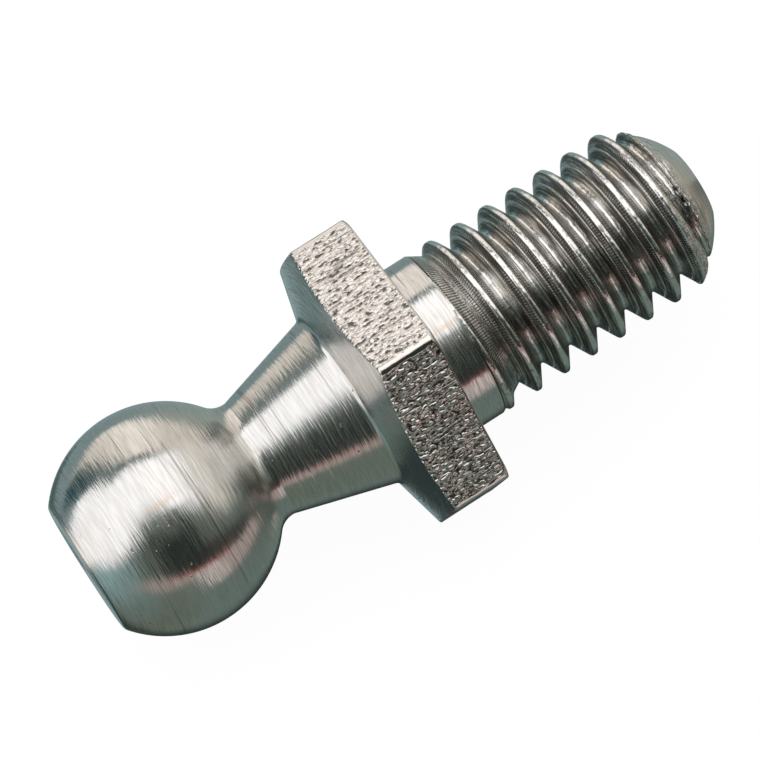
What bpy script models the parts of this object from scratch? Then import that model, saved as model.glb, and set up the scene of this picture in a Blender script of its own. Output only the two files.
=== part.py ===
"""Ball stud with a hexagonal collar and a screw thread, turned in one piece from hexagonal bar.

The stud lies along +X. The flat on the end of the ball is at x = 0, centred on the axis, and
one flat of the hexagon faces down. The surface is a run of sections from the ball to the
threaded tip. A section is a closed line round the axis: one (x, radius) point for each of the
same directions, so neighbouring sections join into one closed skin.
"""

from math import atan2, cos, pi, radians, sin, sqrt, tan

import bmesh
import bpy
from mathutils import Vector

MM = 0.001
INCH = 25.4 * MM

# Ball, and the flat on its free end
BALL_RADIUS = 4.95 * MM
BALL_CENTRE_X = 4.0 * MM
END_FLAT_RADIUS = 2.5 * MM
END_RIM_LENGTH = 0.13 * MM
BALL_FILLET_RADIUS = 1.0 * MM

# Neck, a cone that widens from the ball to the hexagon
NECK_HALF_ANGLE = radians(16)
NECK_THICK_X = 13.0 * MM
NECK_THICK_RADIUS = 3.97 * MM

# Hexagon: a slanted face towards the ball, a flat seat towards the thread
HEX_ACROSS_FLATS = 0.5 * INCH
HEX_CORNER_RADIUS = HEX_ACROSS_FLATS / sqrt(3)
HEX_CORNER_X = 14.07 * MM
HEX_FACE_ANGLE = radians(15)
HEX_FILLET_RADIUS = 0.4 * MM
SEAT_X = 16.74 * MM
SEAT_RADIUS = 7.05 * MM
SEAT_CORNER_SLOPE = 0.5

# Plain collar between the seat and the thread
COLLAR_RADIUS = 3.9 * MM
COLLAR_END_X = 18.49 * MM

# Thread: 5/16-18 UNC, right-handed
PITCH = INCH / 18
THREAD_RADIUS = 3.925 * MM
THREAD_DEPTH = 0.96 * MM
CREST_WIDTH = PITCH / 8
FLANK_ANGLE = radians(30)
THREAD_RUNOUT = 1.3 * MM
CREST_X = 18.0 * MM

# Tip: a cone that cuts the last turns of the thread, then a shallow dome with a flat end
TIP_CONE_ANGLE = radians(40)
TIP_SHOULDER_X = 29.65 * MM
TIP_SHOULDER_RADIUS = 2.9 * MM
TIP_DOME_RADIUS = 3.3 * MM
TIP_FLAT_RADIUS = 1.8 * MM
TIP_X = 30.5 * MM

# Mesh density
COLUMNS = 48
BALL_STEPS = 14
FILLET_STEPS = 4
DOME_STEPS = 3
SHORTEST_EDGE = 0.05 * MM
WELD_DISTANCE = 0.001 * MM
SHARP_ANGLE = radians(25)

DIRECTIONS = [2 * pi * column / COLUMNS for column in range(COLUMNS + 1)]


def ring(x, radius):
    """A round section. It says its first direction again at the end, as every section does."""
    return [(x, radius)] * len(DIRECTIONS)


def arc(centre, radius, start, end, steps):
    """Points (x, radius) from start to end round a centre, given as angles from the +X axis."""
    angles = [start + (end - start) * step / steps for step in range(steps + 1)]
    return [(centre[0] + radius * cos(a), centre[1] + radius * sin(a)) for a in angles]


def arc_between(start, end, radius, steps, hollow=False):
    """Points (x, radius) on an arc of this radius that joins two points."""
    start, end = Vector(start), Vector(end)
    half = (end - start) / 2
    across = Vector((half.y, -half.x)).normalized() * sqrt(radius**2 - half.length_squared)
    centre = start + half + (-across if hollow else across)
    first = atan2(start.y - centre.y, start.x - centre.x)
    last = atan2(end.y - centre.y, end.x - centre.x)
    return arc(centre, radius, first, last, steps)


def neck_radius(x):
    """Radius of the neck's cone, also where it is continued past its two ends."""
    return NECK_THICK_RADIUS + (x - NECK_THICK_X) * tan(NECK_HALF_ANGLE)


def hex_face_x(radius):
    """Where the slanted face of the hexagon lies, at this distance from the axis."""
    return HEX_CORNER_X - (HEX_CORNER_RADIUS - radius) * tan(HEX_FACE_ANGLE)


def hex_radius(direction):
    """Distance from the axis to the hexagon's side. The corners are at 0, 60, 120... degrees."""
    return HEX_ACROSS_FLATS / 2 / cos(direction % (pi / 3) - pi / 6)


def ball_fillet_centre():
    """Centre of the hollow fillet that touches both the ball and the neck's cone."""
    slope = tan(NECK_HALF_ANGLE)
    height = neck_radius(BALL_CENTRE_X) + BALL_FILLET_RADIUS / cos(NECK_HALF_ANGLE)
    reach = BALL_RADIUS + BALL_FILLET_RADIUS
    steepness = 1 + slope**2
    root = sqrt((height * slope) ** 2 - steepness * (height**2 - reach**2))
    offset = (root - height * slope) / steepness
    return BALL_CENTRE_X + offset, height + slope * offset


def ball_sections():
    """End flat, its rounded rim, and the ball as far as its fillet."""
    rim_from_centre = END_RIM_LENGTH - BALL_CENTRE_X
    rim_radius = sqrt(BALL_RADIUS**2 - rim_from_centre**2)
    fillet_x, fillet_radius = ball_fillet_centre()
    start = atan2(rim_radius, rim_from_centre)
    end = atan2(fillet_radius, fillet_x - BALL_CENTRE_X)
    outline = [(0, END_FLAT_RADIUS)] + arc((BALL_CENTRE_X, 0), BALL_RADIUS, start, end, BALL_STEPS)
    return [ring(x, radius) for x, radius in outline]


def neck_sections():
    """Fillet at the ball, the cone, and the fillet where the cone meets the hexagon's face."""
    centre = ball_fillet_centre()
    touches_ball = atan2(-centre[1], BALL_CENTRE_X - centre[0])
    touches_cone = NECK_HALF_ANGLE - pi / 2
    outline = arc(centre, BALL_FILLET_RADIUS, touches_ball, touches_cone, FILLET_STEPS)[1:]

    slope, lean = tan(NECK_HALF_ANGLE), tan(HEX_FACE_ANGLE)
    corner_radius = neck_radius(hex_face_x(0)) / (1 - slope * lean)
    corner = Vector((hex_face_x(corner_radius), corner_radius))
    along_neck = Vector((cos(NECK_HALF_ANGLE), sin(NECK_HALF_ANGLE)))
    along_face = Vector((sin(HEX_FACE_ANGLE), cos(HEX_FACE_ANGLE)))
    turn = pi / 2 - HEX_FACE_ANGLE - NECK_HALF_ANGLE
    reach = HEX_FILLET_RADIUS * tan(turn / 2)
    start, end = corner - along_neck * reach, corner + along_face * reach
    outline += arc_between(start, end, HEX_FILLET_RADIUS, FILLET_STEPS, hollow=True)
    return [ring(x, radius) for x, radius in outline]


def hexagon_sections():
    """Edge of the slanted face, edge of the sides, and the seat with its turned corners."""
    front, rear, seat = [], [], []
    for direction in DIRECTIONS:
        radius = hex_radius(direction)
        cut_back = max(0, radius - SEAT_RADIUS) * SEAT_CORNER_SLOPE
        front.append((hex_face_x(radius), radius))
        rear.append((SEAT_X - cut_back, radius))
        seat.append((SEAT_X, min(radius, SEAT_RADIUS)))
    return [front, rear, seat]


def collar_sections():
    return [ring(SEAT_X, COLLAR_RADIUS), ring(COLLAR_END_X, COLLAR_RADIUS)]


def thread_point(x, depth_share):
    """A point on the thread: share 0 is the crest and 1 the root. The groove grows from nothing
    at the collar, and the tip's cone cuts the last turns. Past either end it is the end ring."""
    if x < COLLAR_END_X + SHORTEST_EDGE:
        return COLLAR_END_X, COLLAR_RADIUS
    if x > TIP_SHOULDER_X - SHORTEST_EDGE:
        return TIP_SHOULDER_X, TIP_SHOULDER_RADIUS
    run = min(1, (x - COLLAR_END_X) / THREAD_RUNOUT)
    groove = THREAD_DEPTH * depth_share * run * run * (3 - 2 * run)
    cone_radius = TIP_SHOULDER_RADIUS + (TIP_SHOULDER_X - x) * tan(TIP_CONE_ANGLE)
    return x, min(THREAD_RADIUS - groove, cone_radius)


def thread_sections():
    """Lines along the two edges of the crest and the two edges of the root, each a turn long.
    A line climbs one pitch in its turn, so it ends where the line one pitch further on begins."""
    crest_edge = CREST_WIDTH / 2
    root_edge = crest_edge + THREAD_DEPTH * tan(FLANK_ANGLE)
    profile = [(-crest_edge, 0), (crest_edge, 0), (root_edge, 1), (PITCH - root_edge, 1)]
    first_turn = int((COLLAR_END_X - CREST_X) // PITCH) - 1
    last_turn = int((TIP_SHOULDER_X - CREST_X) // PITCH) + 2
    sections = []
    for turn in range(first_turn, last_turn):
        for offset, depth_share in profile:
            start_x = CREST_X + turn * PITCH + offset
            climb = [start_x + PITCH * direction / (2 * pi) for direction in DIRECTIONS]
            sections.append([thread_point(x, depth_share) for x in climb])
    return sections


def tip_sections():
    """Dome from the shoulder of the tip's cone to the flat end."""
    shoulder = (TIP_SHOULDER_X, TIP_SHOULDER_RADIUS)
    outline = arc_between(shoulder, (TIP_X, TIP_FLAT_RADIUS), TIP_DOME_RADIUS, DOME_STEPS)
    return [ring(x, radius) for x, radius in outline]


def skin(name, sections):
    """A closed mesh through the sections, with a flat cap on the first and the last."""
    shape = bmesh.new()
    rows = []
    for section in sections:
        placed = zip(section, DIRECTIONS)
        rows.append([shape.verts.new((x, r * cos(a), r * sin(a))) for (x, r), a in placed])
    for row, following in zip(rows, rows[1:]):
        for here in range(COLUMNS):
            corners = (row[here], row[here + 1], following[here + 1], following[here])
            shape.faces.new(corners)
    bmesh.ops.remove_doubles(shape, verts=shape.verts, dist=WELD_DISTANCE)
    bmesh.ops.holes_fill(shape, edges=[edge for edge in shape.edges if edge.is_boundary])
    bmesh.ops.recalc_face_normals(shape, faces=shape.faces)
    mesh = bpy.data.meshes.new(name)
    shape.to_mesh(mesh)
    shape.free()
    mesh.shade_smooth()
    mesh.set_sharp_from_angle(angle=SHARP_ANGLE)
    return mesh


def stainless_steel():
    material = bpy.data.materials.new("stainless_steel")
    material.use_nodes = True
    surface = material.node_tree.nodes["Principled BSDF"]
    surface.inputs["Base Color"].default_value = (0.62, 0.60, 0.57, 1)
    surface.inputs["Metallic"].default_value = 1.0
    surface.inputs["Roughness"].default_value = 0.3
    return material


def build_ball_stud():
    sections = ball_sections() + neck_sections() + hexagon_sections()
    sections += collar_sections() + thread_sections() + tip_sections()
    mesh = skin("ball_stud", sections)
    mesh.materials.append(stainless_steel())
    stud = bpy.data.objects.new("ball_stud", mesh)
    bpy.context.scene.collection.objects.link(stud)


def main():
    for old in list(bpy.data.objects):
        bpy.data.objects.remove(old)
    build_ball_stud()


main()
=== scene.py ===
"""Looks of the ball stud: a fine mesh in place of the CAD solid, its steel, a studio and a camera.

The stud lies along +X. Its surface is a run of rows from the flat end of the ball to the tip of
the thread. A row holds one (x, radius) pair for each direction round the axis. Directions are
angles from +Y towards +Z, and an angle "beta" is counted the same way, but from the side of the
stud that faces the camera.
"""

from math import atan2, cos, pi, radians, sin, sqrt, tan

import bmesh
import bpy
import numpy as np
from mathutils import Matrix, Vector, noise


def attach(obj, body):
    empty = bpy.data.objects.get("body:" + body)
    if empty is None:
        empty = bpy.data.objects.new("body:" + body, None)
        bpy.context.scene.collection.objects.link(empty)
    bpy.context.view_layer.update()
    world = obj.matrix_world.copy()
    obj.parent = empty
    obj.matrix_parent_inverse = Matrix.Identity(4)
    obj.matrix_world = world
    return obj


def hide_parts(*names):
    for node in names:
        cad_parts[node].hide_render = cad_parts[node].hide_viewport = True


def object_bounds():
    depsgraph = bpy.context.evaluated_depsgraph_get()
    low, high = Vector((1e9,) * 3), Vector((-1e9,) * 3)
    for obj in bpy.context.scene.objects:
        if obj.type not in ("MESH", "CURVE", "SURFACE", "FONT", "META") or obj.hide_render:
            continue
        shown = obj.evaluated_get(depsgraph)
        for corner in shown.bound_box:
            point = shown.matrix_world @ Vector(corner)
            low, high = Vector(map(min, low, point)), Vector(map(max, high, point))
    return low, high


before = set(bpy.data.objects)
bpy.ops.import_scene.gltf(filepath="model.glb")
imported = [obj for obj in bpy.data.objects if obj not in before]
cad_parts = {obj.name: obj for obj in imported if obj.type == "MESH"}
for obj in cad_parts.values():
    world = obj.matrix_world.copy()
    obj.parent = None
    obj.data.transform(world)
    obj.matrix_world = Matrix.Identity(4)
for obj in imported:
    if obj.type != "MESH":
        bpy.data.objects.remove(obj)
CAD_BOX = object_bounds()

MM = 0.001
INCH = 25.4 * MM

# Ball, and the flat on its free end
BALL_RADIUS = 4.92 * MM
BALL_CENTRE_X = 4.0 * MM
END_FLAT_X = 0.08 * MM
END_FLAT_RADIUS = 2.85 * MM
END_RIM_X = 0.17 * MM
END_RIM_RADIUS = 0.39 * MM
BALL_FILLET_RADIUS = 1.0 * MM

# Neck, a cone that widens from the ball to the hexagon. A crease parts it from the ball's fillet
NECK_HALF_ANGLE = radians(16)
NECK_THICK_X = 13.0 * MM
NECK_THICK_RADIUS = 3.97 * MM
NECK_START_X = 8.68 * MM
NECK_CREASE = 0.02 * MM

# Hexagon: a slanted face towards the ball, a flat seat towards the thread
HEX_ACROSS_FLATS = CAD_BOX[1][2] - CAD_BOX[0][2]
HEX_CORNER_RADIUS = HEX_ACROSS_FLATS / sqrt(3)
HEX_CORNER_X = 14.07 * MM
HEX_FACE_ANGLE = radians(15)
HEX_FILLET_RADIUS = 0.4 * MM
HEX_EDGE_RADIUS = 0.3 * MM
SEAT_X = 16.74 * MM
SEAT_RADIUS = 7.05 * MM
SEAT_CORNER_SLOPE = 0.5
WORN_EDGE = 0.09 * MM

# Broad dents of the hexagon's sides. They fade out over a share of the side's length at each end
DENT_SIZE = 0.45 * MM
DENT_SQUEEZE = 0.5
DENT_DEPTH = 0.008 * MM
SIDE_SINK = 0.006 * MM
SIDE_FADE = 0.06

# Plain collar between the seat and the thread
COLLAR_RADIUS = 3.9 * MM
COLLAR_END_X = 18.43 * MM

# Thread: 5/16-18 UNC, right-handed
PITCH = INCH / 18
THREAD_RADIUS = 3.925 * MM
THREAD_DEPTH = 0.92 * MM
CREST_WIDTH = 0.22 * MM
FLANK_ANGLE = radians(30)
RUNOUT_SLOPE = 0.58
CREST_X = 18.02 * MM
CREST_ROUNDING = 0.09 * MM
ROOT_ROUNDING = 0.04 * MM
SOFT_ROOT_ROUNDING = 0.12 * MM
BLEND = 0.04 * MM

# Rows of one turn of the thread: how far they lie from the middle of a crest
CREST_ROW = 0.07 * MM
CREST_EDGE_ROW = 0.11 * MM
FLANK_START_ROW = 0.15 * MM
FLANK_END_ROW = 0.615 * MM
ROOT_ROW = 0.645 * MM
ROWS_BEFORE_NEXT_CREST = (0.67 * MM, 0.64 * MM, 0.61 * MM, 0.57 * MM)

# Knocks and the torn lip on the last turns
NICKED_FROM_X = 28.0 * MM
NICKED_FADE = 1.0 * MM
NICKED_DEPTH_SHARE = 0.95
BUMP_SIZE = 0.30 * MM
KNOCK_DEPTH = 0.16 * MM
LIP_HEIGHT = 0.05 * MM
LIP_SLOPE = 0.33
LIP_LENGTH = 0.34 * MM
LIP_UNEVENNESS = 0.45 * MM
LIP_SOFTNESS = 0.10 * MM

# Tip: a cone that cuts the last turns of the thread, then a shallow dome with a flat end
TIP_CONE_ANGLE = radians(40)
TIP_SHOULDER_X = 29.65 * MM
TIP_SHOULDER_RADIUS = 2.9 * MM
TIP_DOME_RADIUS = 5.0 * MM
TIP_FLAT_RADIUS = 1.75 * MM
TIP_X = CAD_BOX[1][0]

# Mesh density. A small disc closes each end
SECTOR_COLUMNS = 31
DISC_RADIUS = 0.3 * MM
END_FLAT_STEPS = 5
END_RIM_STEPS = 4
BALL_STEPS = 60
BALL_FILLET_STEPS = 14
NECK_STEPS = 20
HEX_FILLET_STEPS = 8
FACE_STEPS = 8
WORN_EDGE_STEPS = 4
SIDE_STEPS = 26
SEAT_STEPS = 5
COLLAR_STEPS = 12
FLANK_STEPS = 6
NICKED_FLANK_STEPS = 12
NICKED_TURNS = 3
DOME_STEPS = 12
TIP_FLAT_STEPS = 4
SHORTEST_EDGE = 0.02 * MM
WELD_DISTANCE = 0.0005 * MM
SHARP_ANGLE = radians(32)

# The camera stands off the middle of the stud. Beta is counted from the camera's side
CAMERA_AIM = (14.61 * MM, -0.63 * MM, 1.10 * MM)
CAMERA_DISTANCE = 180.3 * MM
CAMERA_AZIMUTH = radians(-12.48)
CAMERA_ELEVATION = radians(56.68)
CAMERA_ROLL = radians(-22.02)
CAMERA_LENS = 204.2
CAMERA_SENSOR = 36
CAMERA_CLIP = 10 * MM
CAMERA_SIDE = radians(122.7)

# Floor
FLOOR_SIZE = 3.0
FLOOR_GLOW = 0.96


def column_directions():
    """Directions of the columns: even between the hexagon's corners, and close together at them."""
    close = [radians(a) for a in (0, 0.4, 0.8, 1.3)]
    spread = np.linspace(close[-1], pi / 3 - close[-1], SECTOR_COLUMNS)
    sector = close + list(spread[1:]) + [pi / 3 - a for a in close[-2:0:-1]]
    return np.array([corner * pi / 3 + a for corner in range(6) for a in sector] + [2 * pi])


DIRECTIONS = column_directions()
COLUMNS = len(DIRECTIONS) - 1


def smooth_step(share):
    share = np.clip(share, 0, 1)
    return share * share * (3 - 2 * share)


def smooth_max(a, b, width):
    """The larger of two values, with the corner between them rounded off over this width."""
    overlap = np.maximum(width - np.abs(a - b), 0)
    return np.maximum(a, b) + overlap**2 / (4 * width)


def smooth_min(a, b, width):
    return -smooth_max(-a, -b, width)


def row(x, radius):
    """A row from an x and a radius, each one value or one value per direction."""
    return np.stack(np.broadcast_arrays(x, radius, DIRECTIONS)[:2], axis=1)


def rings(outline):
    return [row(x, radius) for x, radius in outline]


def arc(centre, radius, start, end, steps):
    """Points (x, radius) from start to end round a centre, given as angles from the +X axis."""
    angles = np.linspace(start, end, steps + 1)
    return [(centre[0] + radius * cos(a), centre[1] + radius * sin(a)) for a in angles]


def arc_between(start, end, radius, steps, hollow=False):
    """Points (x, radius) on an arc of this radius that joins two points."""
    start, end = Vector(start), Vector(end)
    half = (end - start) / 2
    across = Vector((half.y, -half.x)).normalized() * sqrt(radius**2 - half.length_squared)
    centre = start + half + (-across if hollow else across)
    first = atan2(start.y - centre.y, start.x - centre.x)
    last = atan2(end.y - centre.y, end.x - centre.x)
    return arc(centre, radius, first, last, steps)


def line(start, end, steps):
    """Points (x, radius) on a straight line, both ends included."""
    return [tuple(p) for p in np.linspace(start, end, steps + 1)]


def neck_radius(x):
    return NECK_THICK_RADIUS + (x - NECK_THICK_X) * tan(NECK_HALF_ANGLE)


def hex_face_x(radius):
    """Where the slanted face of the hexagon lies, at this distance from the axis."""
    return HEX_CORNER_X - (HEX_CORNER_RADIUS - radius) * tan(HEX_FACE_ANGLE)


def hex_radii():
    """Distance from the axis to the hexagon's side in each direction, its corners rounded."""
    from_corner = (DIRECTIONS + pi / 6) % (pi / 3) - pi / 6
    flat = HEX_ACROSS_FLATS / 2 / np.cos(pi / 6 - np.abs(from_corner))
    centre = HEX_CORNER_RADIUS - HEX_EDGE_RADIUS / cos(pi / 6)
    inside = np.maximum(HEX_EDGE_RADIUS**2 - (centre * np.sin(from_corner)) ** 2, 0)
    rounded = centre * np.cos(from_corner) + np.sqrt(inside)
    touching = atan2(HEX_EDGE_RADIUS / 2, centre + HEX_EDGE_RADIUS * cos(pi / 6))
    return np.where(np.abs(from_corner) < touching, rounded, flat)


def ball_fillet_centre():
    """Centre of the hollow fillet that touches the ball and ends where the neck starts."""
    start = Vector((NECK_START_X - BALL_CENTRE_X, neck_radius(NECK_START_X)))
    reach = BALL_RADIUS + BALL_FILLET_RADIUS
    along = (reach**2 - BALL_FILLET_RADIUS**2 + start.length_squared) / (2 * start.length)
    aside = sqrt(reach**2 - along**2)
    unit = start.normalized()
    offset = unit * along + Vector((-unit.y, unit.x)) * aside
    return BALL_CENTRE_X + offset.x, offset.y


def ball_rows():
    """Flat end from its middle out, its rounded rim, the ball, and the fillet down to the neck."""
    rim_from_centre = END_RIM_X - BALL_CENTRE_X
    rim = (END_RIM_X, sqrt(BALL_RADIUS**2 - rim_from_centre**2))
    fillet = ball_fillet_centre()
    start = atan2(rim[1], rim_from_centre)
    end = atan2(fillet[1], fillet[0] - BALL_CENTRE_X)
    touches_ball = atan2(-fillet[1], BALL_CENTRE_X - fillet[0])
    touches_neck = atan2(neck_radius(NECK_START_X) - fillet[1], NECK_START_X - fillet[0])
    outline = line((END_FLAT_X, DISC_RADIUS), (END_FLAT_X, END_FLAT_RADIUS), END_FLAT_STEPS)
    outline += arc_between(outline[-1], rim, END_RIM_RADIUS, END_RIM_STEPS)[1:]
    outline += arc((BALL_CENTRE_X, 0), BALL_RADIUS, start, end, BALL_STEPS)[1:]
    outline += arc(fillet, BALL_FILLET_RADIUS, touches_ball, touches_neck, BALL_FILLET_STEPS)[1:]
    return rings(outline)


def neck_rows():
    """The cone, and the fillet where it meets the hexagon's slanted face."""
    slope, lean = tan(NECK_HALF_ANGLE), tan(HEX_FACE_ANGLE)
    corner_radius = neck_radius(hex_face_x(0)) / (1 - slope * lean)
    corner = Vector((hex_face_x(corner_radius), corner_radius))
    along_neck = Vector((cos(NECK_HALF_ANGLE), sin(NECK_HALF_ANGLE)))
    along_face = Vector((sin(HEX_FACE_ANGLE), cos(HEX_FACE_ANGLE)))
    reach = HEX_FILLET_RADIUS * tan((pi / 2 - HEX_FACE_ANGLE - NECK_HALF_ANGLE) / 2)
    start, end = corner - along_neck * reach, corner + along_face * reach
    first_x = NECK_START_X + NECK_CREASE
    outline = line((first_x, neck_radius(first_x)), tuple(start), NECK_STEPS)
    outline += arc_between(start, end, HEX_FILLET_RADIUS, HEX_FILLET_STEPS, hollow=True)[1:]
    return rings(outline)


def rounded_edge(start, corner, end):
    """Rows that cut the corner between two rows, from start to end, both left out."""
    shares = np.linspace(0, 1, WORN_EDGE_STEPS + 2)[1:-1]
    return [start * (1 - t) ** 2 + corner * 2 * t * (1 - t) + end * t**2 for t in shares]


def seat_x(radius):
    """Where the seat lies at this distance from the axis: its corners are cut back."""
    return SEAT_X - np.maximum(0, radius - SEAT_RADIUS) * SEAT_CORNER_SLOPE


def face_rows(first):
    """The slanted face, from the fillet's last row out to the worn edge of the hexagon."""
    inner, outer = first[:, 1], hex_radii() - WORN_EDGE
    shares = np.linspace(0, 1, FACE_STEPS + 1)[1:]
    radii = [inner + (outer - inner) * share for share in shares]
    return [row(hex_face_x(radius), radius) for radius in radii]


def lumps(x, radius, size):
    """Smooth random values between -1 and 1, one per direction, for places on a row."""
    values = []
    for at_x, at_radius, direction in zip(x, radius, DIRECTIONS):
        place = Vector((at_x, at_radius * cos(direction), at_radius * sin(direction)))
        values.append(noise.noise(place / size))
    values[-1] = values[0]
    return np.array(values)


def skin_relief(x, radius):
    """The broad dents of the drawn bar's skin, drawn out along the axis."""
    return lumps(x * DENT_SQUEEZE, radius, DENT_SIZE) * DENT_DEPTH


def side_rows():
    """The front edge and the six sides, as far as the worn edge of the seat."""
    radius = hex_radii()
    inside = radius - WORN_EDGE
    front, rear = hex_face_x(radius) + WORN_EDGE, seat_x(radius) - WORN_EDGE
    on_face, corner = row(hex_face_x(inside), inside), row(hex_face_x(radius), radius)
    rows = rounded_edge(on_face, corner, row(front, radius))
    for share in np.linspace(0, 1, SIDE_STEPS + 1):
        x = front + (rear - front) * share
        fade = smooth_step(share / SIDE_FADE) * smooth_step((1 - share) / SIDE_FADE)
        rows.append(row(x, radius + (skin_relief(x, radius) - SIDE_SINK) * fade))
    return rows


def seat_rows():
    """The worn edge of the seat, the seat, and its foot at the collar."""
    radius = hex_radii()
    inside = radius - WORN_EDGE
    on_side, corner = row(seat_x(radius) - WORN_EDGE, radius), row(seat_x(radius), radius)
    on_seat = row(seat_x(inside), inside)
    rows = rounded_edge(on_side, corner, on_seat) + [on_seat]
    outer = np.minimum(inside, SEAT_RADIUS)
    for share in np.linspace(0, 1, SEAT_STEPS + 1):
        rows.append(row(SEAT_X, outer + (COLLAR_RADIUS - outer) * share))
    return rows


def collar_rows():
    start, end = (SEAT_X, COLLAR_RADIUS), (COLLAR_END_X, COLLAR_RADIUS)
    return rings(line(start, end, COLLAR_STEPS)[1:])


def groove_depth(offset):
    """Depth of the thread's groove at a distance along the axis from the middle of a crest. The
    root runs with the larger rounding into the flank that faces the ball."""
    from_crest = (offset + PITCH / 2) % PITCH - PITCH / 2
    rounding = SOFT_ROOT_ROUNDING if from_crest < 0 else ROOT_ROUNDING
    flank = (abs(from_crest) - CREST_WIDTH / 2) / tan(FLANK_ANGLE)
    return smooth_min(smooth_max(flank, 0, CREST_ROUNDING), THREAD_DEPTH, rounding)


def knocks(x, radius, cut):
    """How far the last turns are dented by knocks, less the torn lip that the tip's cone leaves on
    their edge. Cut is the distance from the thread's own surface to the cone."""
    bumps = lumps(x, radius, BUMP_SIZE)
    dents = np.maximum(bumps, 0) * KNOCK_DEPTH
    lip_end = LIP_LENGTH + LIP_UNEVENNESS * bumps
    lip = LIP_HEIGHT * smooth_step(1 + cut / LIP_SOFTNESS) + LIP_SLOPE * np.maximum(cut, 0)
    lip = lip * smooth_step((lip_end - cut) / LIP_SOFTNESS)
    return (dents - lip) * smooth_step((x - NICKED_FROM_X) / NICKED_FADE)


def thread_row(turn, offset):
    """A row that climbs one pitch in its turn, so it ends where the row a pitch on begins. The
    groove runs out to the collar along a cone, and the tip's cone cuts the last turns."""
    x = CREST_X + turn * PITCH + offset + PITCH * DIRECTIONS / (2 * pi)
    runout = np.minimum(COLLAR_RADIUS, COLLAR_RADIUS - (x - COLLAR_END_X) * RUNOUT_SLOPE)
    cone = TIP_SHOULDER_RADIUS + (TIP_SHOULDER_X - x) * tan(TIP_CONE_ANGLE)
    thread = smooth_max(THREAD_RADIUS - groove_depth(offset), runout, BLEND)
    radius = smooth_min(thread, cone, BLEND)
    above_root = radius > THREAD_RADIUS - NICKED_DEPTH_SHARE * THREAD_DEPTH
    radius = radius - knocks(x, radius, thread - cone) * above_root
    before, after = x < COLLAR_END_X + SHORTEST_EDGE, x > TIP_SHOULDER_X - SHORTEST_EDGE
    x = np.where(before, COLLAR_END_X, np.where(after, TIP_SHOULDER_X, x))
    radius = np.where(before, COLLAR_RADIUS, np.where(after, TIP_SHOULDER_RADIUS, radius))
    return row(x, radius)


def turn_runs(flank_steps, crest, flank):
    """Runs of rows in one turn of the thread, each a finish and its offsets from the middle of the
    crest: the flank up to the crest, the crest, the flank down, and the root, finished as the
    crest is."""
    down = list(np.linspace(FLANK_START_ROW, FLANK_END_ROW, flank_steps)[1:])
    up = [-offset for offset in reversed(down[:-1])]
    root = [ROOT_ROW, PITCH / 2] + [PITCH - offset for offset in ROWS_BEFORE_NEXT_CREST]
    return [
        (flank, up + [-FLANK_START_ROW, -CREST_EDGE_ROW]),
        (crest, [-CREST_ROW, 0, CREST_ROW, CREST_EDGE_ROW]),
        (flank, [FLANK_START_ROW] + down),
        (crest, root),
    ]


def thread_strips(crest, flank):
    """The thread, turn by turn. The nicked turns at the tip have more rows."""
    first_turn = int((COLLAR_END_X - CREST_X) // PITCH) - 1
    last_turn = int((TIP_SHOULDER_X - CREST_X) // PITCH) + 1
    strips = []
    for turn in range(first_turn, last_turn + 1):
        nicked = turn > last_turn - NICKED_TURNS
        runs = turn_runs(NICKED_FLANK_STEPS if nicked else FLANK_STEPS, crest, flank)
        strips += [(finish, [thread_row(turn, x) for x in offsets]) for finish, offsets in runs]
    return strips


def tip_rows():
    """Dome from the shoulder of the tip's cone to the flat end, and the flat end."""
    shoulder, rim = (TIP_SHOULDER_X, TIP_SHOULDER_RADIUS), (TIP_X, TIP_FLAT_RADIUS)
    outline = arc_between(shoulder, rim, TIP_DOME_RADIUS, DOME_STEPS)
    return rings(outline + line(rim, (TIP_X, DISC_RADIUS), TIP_FLAT_STEPS)[1:])


def stud_mesh(strips):
    """One closed mesh through all the strips. A strip is (material number, rows)."""
    shape = bmesh.new()
    last_row = None
    for material, rows in strips:
        for here in rows:
            verts = []
            for (x, radius), direction in zip(here, DIRECTIONS):
                verts.append(shape.verts.new((x, radius * cos(direction), radius * sin(direction))))
            if last_row:
                for column in range(COLUMNS):
                    corners = (last_row[column], last_row[column + 1], verts[column + 1], verts[column])
                    shape.faces.new(corners).material_index = material
            last_row = verts
    bmesh.ops.remove_doubles(shape, verts=shape.verts, dist=WELD_DISTANCE)
    bmesh.ops.holes_fill(shape, edges=[edge for edge in shape.edges if edge.is_boundary])
    bmesh.ops.recalc_face_normals(shape, faces=shape.faces)
    mesh = bpy.data.meshes.new("ball_stud_fine")
    shape.to_mesh(mesh)
    shape.free()
    mesh.shade_smooth()
    mesh.set_sharp_from_angle(angle=SHARP_ANGLE)
    return mesh


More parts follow.
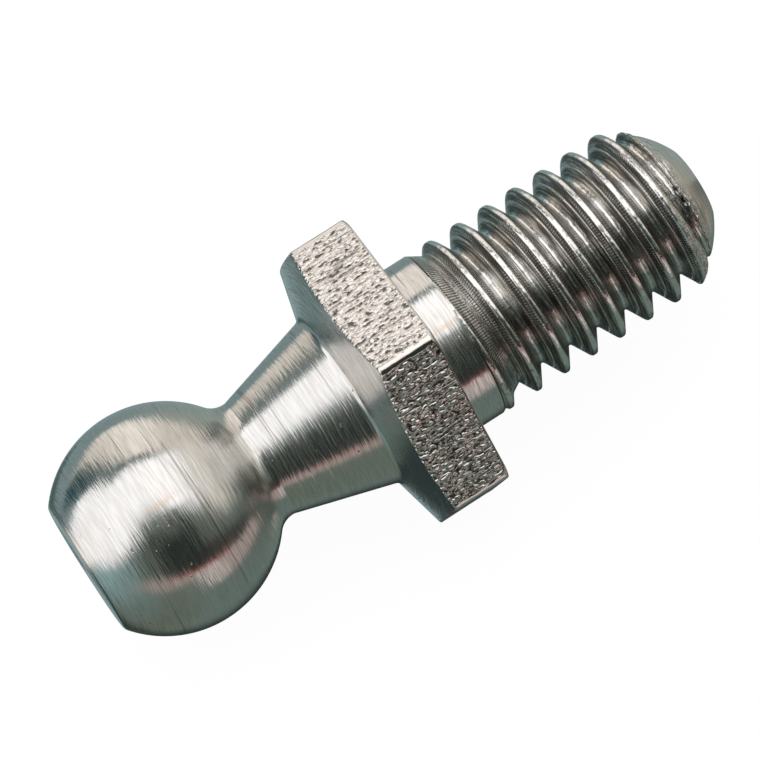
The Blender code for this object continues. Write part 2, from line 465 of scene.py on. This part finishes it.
class Graph:
    """Short names for shader nodes. Each method adds nodes and returns an output socket."""

    def __init__(self, tree):
        self.tree = tree

    def add(self, kind, inputs=None, output=0, **settings):
        node = self.tree.nodes.new(kind)
        for name, value in settings.items():
            setattr(node, name, value)
        for name, value in (inputs or {}).items():
            self.feed(node.inputs[name], value)
        return node.outputs[output]

    def feed(self, socket, value):
        if isinstance(value, bpy.types.NodeSocket):
            self.tree.links.new(value, socket)
        else:
            socket.default_value = value

    def math(self, operation, a, b=0.0):
        return self.add("ShaderNodeMath", {0: a, 1: b}, operation=operation)

    def times(self, a, b):
        return self.math("MULTIPLY", a, b)

    def minus(self, a, b):
        return self.math("SUBTRACT", a, b)

    def sum(self, *values):
        total = values[0]
        for value in values[1:]:
            total = self.math("ADD", total, value)
        return total

    def vector(self, operation, inputs, output=0):
        return self.add("ShaderNodeVectorMath", inputs, output, operation=operation)

    def ramp(self, value, low, high, start=0.0, end=1.0):
        """From start to end as the value goes from low to high, with a smooth step between."""
        inputs = {"Value": value, "From Min": low, "From Max": high, "To Min": start, "To Max": end}
        return self.add("ShaderNodeMapRange", inputs, interpolation_type="SMOOTHSTEP")

    def inside(self, value, low, high, soft):
        """1 where the value lies between low and high, 0 outside, with soft edges."""
        up = self.ramp(self.minus(value, low), -soft, soft)
        down = self.ramp(self.minus(value, high), -soft, soft, 1.0, 0.0)
        return self.times(up, down)

    def mix(self, share, a, b):
        """From colour a to colour b by share."""
        node = self.tree.nodes.new("ShaderNodeMix")
        node.data_type = "RGBA"
        self.feed(node.inputs[0], share)
        self.feed(node.inputs[6], self.colour(a))
        self.feed(node.inputs[7], self.colour(b))
        return node.outputs[2]

    @staticmethod
    def colour(value):
        return value if isinstance(value, bpy.types.NodeSocket) else (*value, 1.0)

    def curve(self, value, points, x_range, y_range):
        """A smooth curve through the points, each an (x, y) pair within the two ranges."""
        node = self.tree.nodes.new("ShaderNodeFloatCurve")
        line_points = node.mapping.curves[0].points
        scaled = []
        for x, y in points:
            share_x = (x - x_range[0]) / (x_range[1] - x_range[0])
            scaled.append((share_x, (y - y_range[0]) / (y_range[1] - y_range[0])))
        for index, place in enumerate(scaled):
            point = line_points[index] if index < 2 else line_points.new(*place)
            point.location = place
        node.mapping.update()
        share = self.math("DIVIDE", self.minus(value, x_range[0]), x_range[1] - x_range[0])
        self.feed(node.inputs["Value"], share)
        return self.sum(self.times(node.outputs[0], y_range[1] - y_range[0]), y_range[0])


class Steel(Graph):
    """A Principled metal whose grain runs round the stud's axis, with its place in mm."""

    def __init__(self, name, anisotropy):
        self.material = bpy.data.materials.new(name)
        self.material.use_nodes = True
        super().__init__(self.material.node_tree)
        self.shader = self.tree.nodes["Principled BSDF"]
        self.shader.inputs["Metallic"].default_value = 1.0
        self.shader.inputs["Anisotropic"].default_value = anisotropy
        self.place = self.add("ShaderNodeTexCoord", output="Object")
        place_mm = self.vector("SCALE", {0: self.place, "Scale": 1 / MM})
        self.x, self.y, self.z = self.add("ShaderNodeSeparateXYZ", {0: place_mm}).node.outputs
        squares = self.sum(self.math("POWER", self.y, 2.0), self.math("POWER", self.z, 2.0))
        self.radius = self.math("SQRT", squares)
        self.feed(self.shader.inputs["Tangent"], self.across_grain())

    def across_grain(self):
        """The direction on the surface that is square to a circle round the axis."""
        round_axis = self.vector("CROSS_PRODUCT", {0: (1, 0, 0), 1: self.place})
        facing = self.add("ShaderNodeNewGeometry", output="Normal")
        return self.vector("CROSS_PRODUCT", {0: facing, 1: round_axis})

    def noise(self, x_scale, radius_scale, around_scale, detail=2.0, shift=0.0):
        """Noise whose scales are per mm: along x, along the radius, and round the axis."""
        along = self.sum(self.times(self.x, x_scale), shift)
        outwards, around = self.times(self.radius, radius_scale), self.times(self.y, around_scale)
        inputs = {
            "Vector": self.add("ShaderNodeCombineXYZ", {0: along, 1: outwards, 2: around}),
            "W": self.times(self.z, around_scale),
            "Scale": 1.0,
            "Detail": detail,
        }
        return self.add("ShaderNodeTexNoise", inputs, noise_dimensions="4D")

    def side_noise(self, x_scale, across_scale, detail, shift=0.0):
        """Noise about 0, with a scale along x and one across it, both per mm."""
        scales = (x_scale / MM, across_scale / MM, across_scale / MM)
        vector = self.vector("MULTIPLY_ADD", {0: self.place, 1: scales, 2: (shift, 0, 0)})
        inputs = {"Vector": vector, "Scale": 1.0, "Detail": detail}
        return self.minus(self.add("ShaderNodeTexNoise", inputs), 0.5)

    def finish(self, colour, roughness, height_mm):
        self.feed(self.shader.inputs["Base Color"], colour)
        self.feed(self.shader.inputs["Roughness"], roughness)
        bump = self.add("ShaderNodeBump", {"Height": height_mm, "Distance": MM, "Strength": 1.0})
        self.feed(self.shader.inputs["Normal"], bump)
        return self.material


def turned_steel():
    """Bright turned steel: short streaks round the axis, some deep rings, a few pits."""
    steel = Steel("turned_steel", 0.75)
    pale, dull, dark_tone = (0.68, 0.66, 0.63), (0.58, 0.56, 0.53), (0.26, 0.24, 0.22)
    fine = steel.noise(12.0, 12.0, 1.1, detail=1.5)
    broad = steel.noise(2.0, 2.0, 0.3, shift=31.0)
    deep_rings = steel.ramp(steel.noise(8.0, 8.0, 0.10, detail=1.0, shift=57.0), 0.66, 0.72)
    pits = steel.ramp(steel.noise(5.0, 5.0, 3.0, shift=83.0), 0.72, 0.78)
    height = steel.sum(
        steel.times(fine, 0.016),
        steel.times(broad, 0.022),
        steel.times(deep_rings, -0.008),
        steel.times(pits, -0.02),
    )
    # The deep rings and the pits are coloured darker
    darkening = steel.math("MAXIMUM", steel.times(deep_rings, 0.55), steel.times(pits, 0.8))
    colour = steel.mix(steel.ramp(fine, 0.3, 0.7), pale, dull)
    colour = steel.mix(darkening, colour, dark_tone)
    return steel.finish(colour, steel.ramp(fine, 0.3, 0.7, 0.15, 0.26), height)


def drawn_skin():
    """Skin of drawn bar: small dents, twice as long along the axis as across it, with painted
    shade in the deep ones and in the grooves. The hexagon's corners are rubbed smooth."""
    steel = Steel("drawn_skin", 0.0)
    pale, painted_shade = (0.68, 0.63, 0.59), (0.13, 0.12, 0.11)
    dents = steel.side_noise(3.6, 6.8, 0.6)
    swells = steel.side_noise(1.2, 2.2, 0.0, shift=20.0)
    grooves = steel.ramp(steel.side_noise(0.5, 7.0, 1.0, shift=80.0), 0.14, 0.20)
    off_corner = steel.ramp(steel.radius, 7.19, 7.24, 1.0, 0.05)
    height = steel.sum(
        steel.times(dents, 0.165),
        steel.times(swells, 0.06),
        steel.times(grooves, -0.015),
    )
    # Painted shade: the deep dents and the grooves are darkened as if shade lay in them, and none is
    # painted near the corners
    deep = steel.ramp(dents, -0.08, -0.17)
    darkening = steel.times(steel.math("MAXIMUM", deep, steel.times(grooves, 0.6)), off_corner)
    return steel.finish(steel.mix(darkening, pale, painted_shade), 0.16, steel.times(height, off_corner))


def crest_steel():
    """The thread's crests and roots, nearly bright."""
    steel = Steel("crest_steel", 0.5)
    pale, dark = (0.74, 0.72, 0.69), (0.36, 0.34, 0.32)
    fine = steel.noise(6.0, 6.0, 3.5)
    colour = steel.mix(steel.ramp(fine, 0.50, 0.70), pale, dark)
    return steel.finish(colour, steel.ramp(fine, 0.3, 0.7, 0.14, 0.24), steel.times(fine, 0.030))


def mm_from_crest(steel, angle):
    """How far a place lies along x from the middle of the nearest crest, in mm."""
    climb = steel.math("DIVIDE", steel.minus(steel.x, CREST_X / MM), PITCH / MM)
    turn = steel.minus(climb, steel.math("DIVIDE", angle, 2 * pi))
    share = steel.minus(steel.math("FRACT", steel.sum(turn, 0.5)), 0.5)
    return steel.times(share, PITCH / MM)


def chatter_marks(steel, angle, from_crest, broad, at_runout):
    """Rows of short ticks square to the helix, beside the crest and all over the run-out."""
    ticks = steel.math("SINE", steel.sum(steel.times(angle, 180.0), steel.times(broad, 9.0)))
    beside_crest = steel.ramp(steel.math("ABSOLUTE", from_crest), 0.25, 0.50, 1.0, 0.15)
    return steel.times(steel.ramp(ticks, -0.3, 0.7), steel.math("MAXIMUM", beside_crest, at_runout))


def flank_steel():
    """The thread's flanks: torn lines along the helix, chatter marks, and a ridge on the side
    towards the ball. Where the tip's cone cuts the thread it is bright with a torn edge."""
    steel = Steel("flank_steel", 0.5)
    pale, torn_dark, bright = (0.78, 0.76, 0.72), (0.21, 0.20, 0.185), (0.68, 0.66, 0.63)
    runout_pale, tick_dark, step_shade = (0.70, 0.69, 0.66), (0.07, 0.07, 0.065), (0.05, 0.05, 0.045)
    angle = steel.math("ARCTAN2", steel.z, steel.y)
    from_crest = mm_from_crest(steel, angle)
    lines = steel.noise(0.4, 10.0, 0.6)
    broad = steel.noise(2.0, 4.0, 2.0, shift=21.0)
    at_runout = steel.ramp(steel.x, 19.3, 19.8, 1.0, 0.0)
    chatter = chatter_marks(steel, angle, from_crest, broad, at_runout)
    ridge = steel.inside(from_crest, -0.40, -0.35, 0.02)
    cone = (TIP_SHOULDER_X * tan(TIP_CONE_ANGLE) + TIP_SHOULDER_RADIUS) / MM
    past_cone = steel.minus(steel.sum(steel.times(steel.x, tan(TIP_CONE_ANGLE)), steel.radius), cone)
    torn = steel.times(steel.inside(past_cone, -0.14, 0.10, 0.03), steel.ramp(steel.x, 28.3, 28.8))
    height = steel.sum(
        steel.times(lines, 0.034),
        steel.times(chatter, -0.010),
        steel.times(ridge, steel.times(broad, 0.07)),
        steel.times(torn, steel.times(steel.noise(4.0, 4.0, 4.0, shift=47.0), 0.10)),
    )
    past_collar = steel.minus(steel.x, COLLAR_END_X / MM)
    on_cone = steel.ramp(past_cone, -0.10, -0.04)
    colour = steel.mix(steel.ramp(lines, 0.38, 0.55), pale, torn_dark)
    colour = steel.mix(steel.times(at_runout, 0.6), colour, runout_pale)
    colour = steel.mix(steel.times(chatter, 0.75), colour, tick_dark)
    # Painted shade: a thin dark band just past the collar's end stands in for the shade of a small step
    # there
    colour = steel.mix(steel.ramp(past_collar, 0.04, 0.09, 1.0, 0.0), colour, step_shade)
    colour = steel.mix(steel.math("MAXIMUM", on_cone, steel.times(ridge, 0.9)), colour, bright)
    return steel.finish(colour, 0.22, height)


def build_stud():
    ball, neck = ball_rows(), neck_rows()
    face = face_rows(neck[-1])
    turned, skin, crest, flank = 0, 1, 2, 3
    strips = [
        (turned, ball + neck + face),
        (skin, side_rows()),
        (turned, seat_rows() + collar_rows()),
        *thread_strips(crest, flank),
        (turned, tip_rows()),
    ]
    mesh = stud_mesh(strips)
    for material in (turned_steel(), drawn_skin(), crest_steel(), flank_steel()):
        mesh.materials.append(material)
    stud = bpy.data.objects.new("ball_stud_fine", mesh)
    bpy.context.scene.collection.objects.link(stud)
    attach(stud, "root")
    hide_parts("ball_stud")


def build_floor():
    """A pale floor that the steel doesn't mirror, as if it were lit from all round."""
    bpy.ops.mesh.primitive_plane_add(size=FLOOR_SIZE, location=(0, 0, CAD_BOX[0][2]))
    floor = bpy.context.object
    floor.name = "floor"
    floor.visible_glossy = False
    floor.visible_shadow = False
    material = bpy.data.materials.new("pale_floor")
    material.use_nodes = True
    shader = material.node_tree.nodes["Principled BSDF"]
    shader.inputs["Base Color"].default_value = (0.06, 0.06, 0.06, 1)
    shader.inputs["Roughness"].default_value = 1.0
    shader.inputs["Specular IOR Level"].default_value = 0.0
    shader.inputs["Emission Color"].default_value = (1, 1, 1, 1)
    shader.inputs["Emission Strength"].default_value = FLOOR_GLOW
    floor.data.materials.append(material)


class Studio(Graph):
    """The studio round the stud, as the steel mirrors it. Beta is the angle round the stud's axis
    from the camera's side, in degrees, and gamma the angle towards its threaded end. Each method
    that takes the light lays more cards over it and returns it."""

    def __init__(self, tree):
        super().__init__(tree)
        near = (0, cos(CAMERA_SIDE), sin(CAMERA_SIDE))
        low = (0, -sin(CAMERA_SIDE), cos(CAMERA_SIDE))
        direction = self.add("ShaderNodeTexCoord", output="Generated")
        to_near = self.vector("DOT_PRODUCT", {0: direction, 1: near}, "Value")
        to_low = self.vector("DOT_PRODUCT", {0: direction, 1: low}, "Value")
        to_tip = self.vector("DOT_PRODUCT", {0: direction, 1: (1, 0, 0)}, "Value")
        self.beta = self.times(self.math("ARCTAN2", to_low, to_near), 180 / pi)
        self.gamma = self.times(self.math("ARCSINE", to_tip), 180 / pi)
        self.card_edges()

    def card_edges(self):
        """Betas along the cards' edges, and how far a beta is past the softbox's low edge, counted
        in widths of that edge's softness."""
        self.tan_low = self.edge(
            (-90, -126), (-23, -117), (-17, -94), (-9, -76), (-2, -71),
            (7, -71), (14, -68), (25, -64), (90, -64),
        )
        self.box_top = self.edge(
            (-90, -175), (-70, -165), (-60, -130), (-46, -104), (-34, -84), (-22, -63),
            (-7, -67), (7, -62), (20, -61), (45, -61), (90, -60),
        )
        self.box_low = self.edge(
            (-90, 66), (-83, 56), (-67, 27), (-47, 10), (-22, -13),
            (-7, -14), (7, -4), (30, 7), (90, 12),
        )
        self.strip_top = self.edge(
            (-90, 54), (-47, 55), (-20, 60), (-7, 61), (7, 62.5),
            (20, 66), (30, 68), (50, 81), (90, 108),
        )
        self.strip_low = self.edge(
            (-90, 72), (-47, 74), (-20, 73), (-7, 66), (0, 74),
            (7, 87), (20, 90), (30, 92), (50, 105), (90, 132),
        )
        soft_points = (
            (-90, 24), (-67, 20), (-45, 10), (-22, 13), (-8, 20),
            (0, 12), (7, 3), (15, 8), (33, 20), (90, 20),
        )
        softness = self.curve(self.gamma, soft_points, (-90, 90), (0, 30))
        self.past_box = self.math("DIVIDE", self.minus(self.beta, self.box_low), softness)

    def edge(self, *points):
        """Beta along the edge of a card, from (gamma, beta) points."""
        return self.curve(self.gamma, points, (-90, 90), (-180, 180))

    def patch(self, betas, beta_soft, gammas, gamma_soft):
        """1 between two betas and two gammas, 0 outside, with soft edges."""
        around = self.inside(self.beta, *betas, beta_soft)
        return self.times(around, self.inside(self.gamma, *gammas, gamma_soft))

    def beyond(self, betas, gammas, gamma_soft):
        """Grows from 0 at the first beta to 1 at the second, between two gammas."""
        grown = self.ramp(self.beta, *betas)
        return self.times(grown, self.inside(self.gamma, *gammas, gamma_soft))

    def walls(self):
        """The wall above the stud, the darker one below it, and how one fades into the other."""
        upper = self.mix(self.ramp(self.gamma, 0, 50), (0.245, 0.335, 0.35), (0.36, 0.43, 0.39))
        upper = self.mix(self.ramp(self.gamma, -65, -50), (0.29, 0.42, 0.44), upper)
        dark_above = self.patch((-171, -153), 3, (-54, -4), 4)
        upper = self.mix(dark_above, upper, (0.08, 0.13, 0.12))
        lower = self.mix(self.ramp(self.gamma, -78, -40), (0.31, 0.48, 0.50), (0.17, 0.23, 0.21))
        lower = self.mix(self.inside(self.gamma, -32, -12, 4), lower, (0.16, 0.195, 0.16))
        lower = self.mix(self.ramp(self.gamma, 20, 80), lower, (0.09, 0.12, 0.10))
        dark_below = self.beyond((142, 162), (-60, -12), 4)
        lower = self.mix(dark_below, lower, (0.03, 0.045, 0.045))
        dark_behind = self.beyond((130, 165), (-12, 20), 3)
        lower = self.mix(dark_behind, lower, (0.03, 0.04, 0.04))
        return self.mix(self.ramp(self.beta, 20, 60), upper, lower)

    def far_side(self, light):
        """What stands behind the stud, and past its threaded end."""
        straight_behind = self.ramp(self.math("ABSOLUTE", self.beta), 172, 177)
        behind = self.times(straight_behind, self.inside(self.gamma, -9, 2, 3))
        light = self.mix(behind, light, (0.26, 0.37, 0.39))
        above_behind = self.beyond((-172, -177), (-40, -9), 3)
        light = self.mix(above_behind, light, (0.32, 0.43, 0.43))
        glow = self.beyond((-149, -155), (-72, -45), 3)
        light = self.mix(glow, light, (1.3, 1.15, 1.05))
        light = self.mix(self.ramp(self.gamma, 62, 72), light, (0.47, 0.43, 0.36))
        dome = self.times(self.inside(self.beta, 147, 163, 2), self.ramp(self.gamma, 28, 42))
        return self.mix(dome, light, (0.46, 0.41, 0.35))

    def tan_card(self, light):
        """A bright tan card above, and the dark gap between it and the softbox."""
        tan_top = self.edge(
            (-90, -121), (-14, -122), (-7, -126), (4, -126), (18, -120), (35, -112), (90, -112),
        )
        around = self.inside(self.beta, tan_top, self.tan_low, 3)
        card = self.times(around, self.ramp(self.gamma, -27, -20))
        tan_light = self.mix(self.inside(self.gamma, -2, 24, 5), (0.88, 0.82, 0.75), (1.18, 1.12, 1.05))
        light = self.mix(card, light, tan_light)
        gap = self.patch((self.tan_low, self.box_top), 1.5, (-44, 18), 4)
        gap_light = self.mix(self.inside(self.gamma, -28, -12, 3), (0.03, 0.08, 0.10), (0.16, 0.22, 0.21))
        return self.mix(gap, light, gap_light)

    def softbox(self, light):
        """The main softbox, whose low edge is soft, and a dimmer one past the threaded end."""
        from_top = self.ramp(self.minus(self.beta, self.box_top), -3, 3)
        around = self.times(from_top, self.ramp(self.past_box, -1, 1, 1.0, 0.0))
        box = self.times(around, self.ramp(self.gamma, 34, 46, 1.0, 0.0))
        box_light = self.mix(self.ramp(self.gamma, -68, -52), (1.36, 1.36, 1.38), (1.45, 1.46, 1.50))
        box_light = self.mix(self.inside(self.gamma, 0, 20, 4), box_light, (1.6, 1.6, 1.62))
        light = self.mix(box, light, box_light)
        side = self.patch((-66, 30), 16, (40, 62), 6)
        return self.mix(side, light, (0.95, 0.90, 0.83))

    def dark_cards(self, light):
        """Dark cards between the softbox and the pink strip, the darkest in the middle."""
        flag = self.patch((self.box_low, self.strip_top), 2, (-52, 42), 8)
        flag = self.times(flag, self.ramp(self.past_box, -0.5, 1.2))
        light = self.mix(flag, light, (0.14, 0.165, 0.145))
        under = self.patch((self.minus(self.strip_top, 21), self.strip_top), 6, (-18, 60), 8)
        light = self.mix(under, light, (0.06, 0.06, 0.055))
        core_top = self.edge((-90, 6), (-20, 8), (-8, 22), (2, 10), (7, 0), (90, 0))
        core = self.patch((core_top, self.strip_top), 6, (-32, 16), 3)
        return self.mix(core, light, (0.028, 0.035, 0.032))

    def pink_strip(self, light):
        """A pink strip below with a thin red line along its upper edge, and a small warm lamp."""
        above_low = self.ramp(self.minus(self.beta, self.strip_low), -4, 4, 1.0, 0.0)
        from_top = self.minus(self.beta, self.strip_top)
        around = self.times(above_low, self.ramp(from_top, -2, 2))
        strip = self.times(around, self.inside(self.gamma, -50, 60, 8))
        pink = self.mix(self.inside(self.gamma, -2, 16, 5), (0.46, 0.38, 0.36), (0.80, 0.70, 0.69))
        light = self.mix(strip, light, pink)
        on_line = self.ramp(self.math("ABSOLUTE", from_top), 0.4, 1.8, 1.0, 0.0)
        red = self.times(on_line, self.inside(self.gamma, -22, 34, 3))
        light = self.mix(red, light, (0.42, 0.06, 0.05))
        lamp = self.patch((-17, -13), 1, (-8, 12), 2)
        return self.mix(lamp, light, (1.4, 0.9, 0.6))


def studio_light():
    """The world: the steel mirrors the studio, and the camera sees white behind the stud."""
    world = bpy.data.worlds.new("studio")
    bpy.context.scene.world = world
    world.use_nodes = True
    studio = Studio(world.node_tree)
    light = studio.far_side(studio.walls())
    light = studio.softbox(studio.tan_card(light))
    light = studio.pink_strip(studio.dark_cards(light))
    seen = studio.add("ShaderNodeLightPath", output="Is Camera Ray")
    light = studio.mix(seen, light, (1.0, 1.0, 1.0))
    studio.feed(world.node_tree.nodes["Background"].inputs["Color"], light)


def place_camera():
    """The camera looks at the aim from its azimuth and elevation, rolled about its own axis."""
    azimuth, elevation = CAMERA_AZIMUTH, CAMERA_ELEVATION
    back = Vector((sin(azimuth) * cos(elevation), -cos(azimuth) * cos(elevation), sin(elevation)))
    level = (-back).to_track_quat("-Z", "Y").to_matrix().to_4x4()
    camera = bpy.data.objects.new("camera", bpy.data.cameras.new("camera"))
    camera.data.lens = CAMERA_LENS
    camera.data.sensor_width = CAMERA_SENSOR
    camera.data.clip_start = CAMERA_CLIP
    place = Vector(CAMERA_AIM) + back * CAMERA_DISTANCE
    camera.matrix_world = Matrix.Translation(place) @ level @ Matrix.Rotation(CAMERA_ROLL, 4, "Z")
    bpy.context.scene.collection.objects.link(camera)
    bpy.context.scene.camera = camera


place_camera()
build_stud()
build_floor()
studio_light()
bpy.context.scene.view_settings.view_transform = "Standard"
